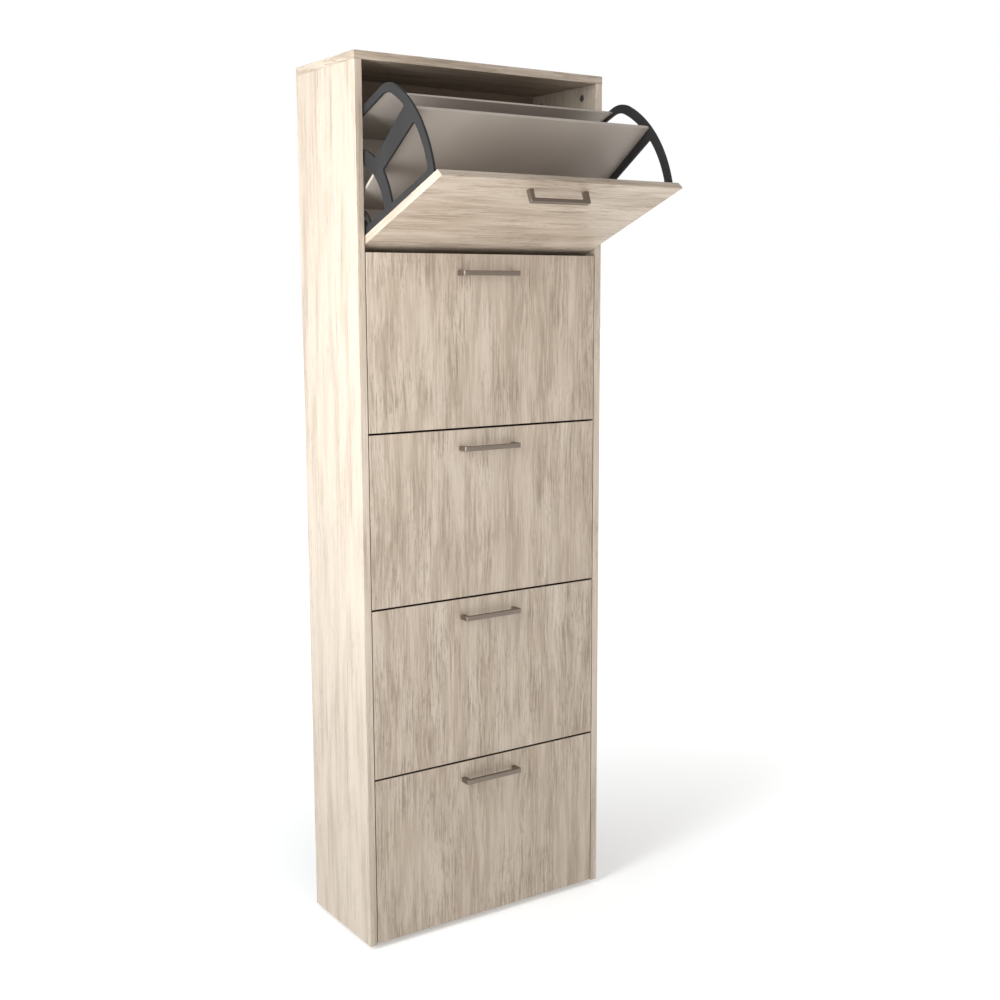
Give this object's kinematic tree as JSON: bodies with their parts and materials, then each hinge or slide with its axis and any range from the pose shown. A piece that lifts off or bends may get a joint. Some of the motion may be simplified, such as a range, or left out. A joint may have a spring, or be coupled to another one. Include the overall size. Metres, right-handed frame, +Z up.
{
  "type": "shoe cabinet",
  "caption": "Tall, narrow shoe cabinet: a board carcass with tilting flaps, each a door with plastic side arms, thin tray boards and a bow handle, turning on pins.",
  "frame": {"origin": "on the floor, under the middle of the carcass", "axes": "+Z up, X along the width, doors face -Y"},
  "size_m": [0.59, 0.5303, 1.8],
  "materials": {
    "oak": "washed light oak melamine, satin",
    "oak_inside": "light oak melamine inside, matt",
    "back_board": "thin hardboard, printed face, matt",
    "grey_board": "warm light grey lacquered fibreboard, matt",
    "arm_plastic": "dark grey moulded plastic, fine grain",
    "handle_nickel": "satin nickel",
    "screw_steel": "zinc-plated steel",
    "cam_zinc": "die-cast zinc",
    "pin_steel": "bright steel",
    "dowel_beech": "raw beech",
    "bush_plastic": "white moulded plastic",
    "glide_plastic": "black plastic"
  },
  "bodies": {
    "carcass": {"side_panel_left": "oak", "side_panel_right": "oak", "top_panel": "oak", "bottom_panel": "oak_inside", "back_panel": "back_board", "top_rail": "oak_inside", "middle_rail": "oak_inside", "cams": "cam_zinc", "cam_bolts": "screw_steel", "dowels": "dowel_beech", "pivot_bushes": "bush_plastic", "stop_pins": "pin_steel", "glides": "glide_plastic"},
    "flap_1": {"flap_1_door": "oak", "flap_1_arm_left": "arm_plastic", "flap_1_arm_right": "arm_plastic", "flap_1_divider": "grey_board", "flap_1_rear_board": "grey_board", "flap_1_base_board": "grey_board", "flap_1_handle": "handle_nickel", "flap_1_handle_screws": "screw_steel", "flap_1_arm_screws": "screw_steel"},
    "flap_2": {"flap_2_door": "oak", "flap_2_arm_left": "arm_plastic", "flap_2_arm_right": "arm_plastic", "flap_2_divider": "grey_board", "flap_2_rear_board": "grey_board", "flap_2_base_board": "grey_board", "flap_2_handle": "handle_nickel", "flap_2_handle_screws": "screw_steel", "flap_2_arm_screws": "screw_steel"},
    "flap_3": {"flap_3_door": "oak", "flap_3_arm_left": "arm_plastic", "flap_3_arm_right": "arm_plastic", "flap_3_divider": "grey_board", "flap_3_rear_board": "grey_board", "flap_3_base_board": "grey_board", "flap_3_handle": "handle_nickel", "flap_3_handle_screws": "screw_steel", "flap_3_arm_screws": "screw_steel"},
    "flap_4": {"flap_4_door": "oak", "flap_4_arm_left": "arm_plastic", "flap_4_arm_right": "arm_plastic", "flap_4_divider": "grey_board", "flap_4_rear_board": "grey_board", "flap_4_base_board": "grey_board", "flap_4_handle": "handle_nickel", "flap_4_handle_screws": "screw_steel", "flap_4_arm_screws": "screw_steel"},
    "flap_5": {"flap_5_door": "oak", "flap_5_arm_left": "arm_plastic", "flap_5_arm_right": "arm_plastic", "flap_5_divider": "grey_board", "flap_5_rear_board": "grey_board", "flap_5_base_board": "grey_board", "flap_5_handle": "handle_nickel", "flap_5_handle_screws": "screw_steel", "flap_5_arm_screws": "screw_steel"}
  },
  "joints": [
    {"name": "flap_1_tilt", "type": "hinge", "parent": "carcass", "child": "flap_1", "pos_m": [0, -0.097, 1.4615], "axis": [1, 0, 0], "range_deg": [-69, 0]},
    {"name": "flap_2_tilt", "type": "hinge", "parent": "carcass", "child": "flap_2", "pos_m": [0, -0.097, 1.107], "axis": [1, 0, 0], "range_deg": [0, 69]},
    {"name": "flap_3_tilt", "type": "hinge", "parent": "carcass", "child": "flap_3", "pos_m": [0, -0.097, 0.7525], "axis": [1, 0, 0], "range_deg": [0, 69]},
    {"name": "flap_4_tilt", "type": "hinge", "parent": "carcass", "child": "flap_4", "pos_m": [0, -0.097, 0.398], "axis": [1, 0, 0], "range_deg": [0, 69]},
    {"name": "flap_5_tilt", "type": "hinge", "parent": "carcass", "child": "flap_5", "pos_m": [0, -0.097, 0.0435], "axis": [1, 0, 0], "range_deg": [0, 69]}
  ]
}
